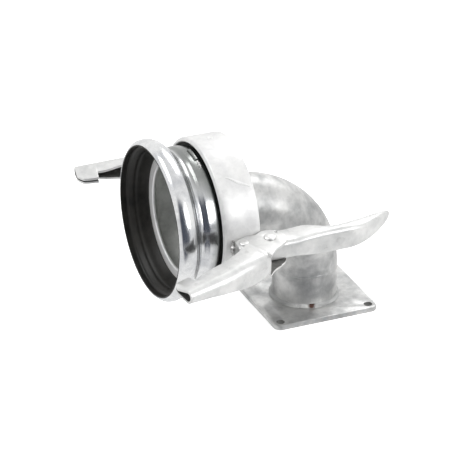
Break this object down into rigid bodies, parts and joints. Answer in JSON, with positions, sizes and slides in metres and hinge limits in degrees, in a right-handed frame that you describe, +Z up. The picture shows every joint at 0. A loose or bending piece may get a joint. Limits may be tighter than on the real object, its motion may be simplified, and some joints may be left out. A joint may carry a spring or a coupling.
{
  "type": "perrot coupling with flanged elbow",
  "caption": "Female perrot coupling with rubber-lined bell and closing ring with lever and hooks, on a 90 degree elbow with a square bolting flange.",
  "frame": {"origin": "centre of the square flange's underside, where it meets its counter-flange", "axes": "+Z up along the leg, the mouth of the bell looks along -Y, the lever is on the +X side"},
  "size_m": [0.4422, 0.3972, 0.3057],
  "materials": {
    "dull_zinc": "matt grey hot-dip zinc",
    "bright_zinc": "bright hot-dip zinc with faint spangle",
    "weld_zinc": "lumpy galvanised weld bead",
    "rivet_steel": "zinc-coated forged rivet",
    "black_rubber": "satin black rubber"
  },
  "bodies": {
    "base": {"flange_plate": "dull_zinc", "flange_weld": "weld_zinc", "leg_pipe": "dull_zinc", "leg_weld": "weld_zinc", "elbow": "dull_zinc", "bell_weld": "weld_zinc", "bell": "bright_zinc", "seal_ring": "black_rubber", "seal_seat_ring": "bright_zinc", "ring_stop_tab": "weld_zinc", "stop_tab_weld": "weld_zinc"},
    "closing_ring_body": {"closing_ring": "bright_zinc", "ring_bearing": "dull_zinc", "ring_seam_weld": "weld_zinc", "ring_plug_weld": "weld_zinc", "near_lug": "dull_zinc", "near_lug_weld_front": "weld_zinc", "near_lug_weld_back": "weld_zinc", "far_lug": "dull_zinc", "far_lug_weld_front": "weld_zinc", "far_lug_weld_back": "weld_zinc"},
    "handle_body": {"lever_handle": "bright_zinc", "near_lug_pin": "rivet_steel"},
    "rivet_body": {"lever_rivet": "rivet_steel"},
    "hook_body": {"lever_hook": "bright_zinc"},
    "far_hook_body": {"far_hook": "bright_zinc", "far_lug_pin": "rivet_steel"}
  },
  "joints": [
    {"name": "ring_swivel", "type": "hinge", "parent": "base", "child": "closing_ring_body", "pos_m": [0, -0.16, 0.1827], "axis": [0, -1, 0], "range_deg": [-50, 230]},
    {"name": "lever_open", "type": "hinge", "parent": "closing_ring_body", "child": "handle_body", "pos_m": [0.13592, -0.166, 0.17795], "axis": [-0.0349, 0, -0.9994], "range_deg": [0, 68]},
    {"name": "rivet_turn", "type": "hinge", "parent": "handle_body", "child": "rivet_body", "pos_m": [0.13942, -0.127, 0.17783], "axis": [0.0349, 0, 0.9994], "range_deg": [0, 68]},
    {"name": "hook_swing", "type": "hinge", "parent": "rivet_body", "child": "hook_body", "pos_m": [0.13942, -0.127, 0.17783], "axis": [0.0349, 0, 0.9994], "range_deg": [-26, 15]},
    {"name": "far_hook_swing", "type": "hinge", "parent": "closing_ring_body", "child": "far_hook_body", "pos_m": [-0.13592, -0.166, 0.18745], "axis": [-0.0225, 0.058, -0.9981], "range_deg": [-27, 60]}
  ],
  "couplings": [
    {"joint": "rivet_turn", "follows": "lever_open", "ratio": 1}
  ]
}
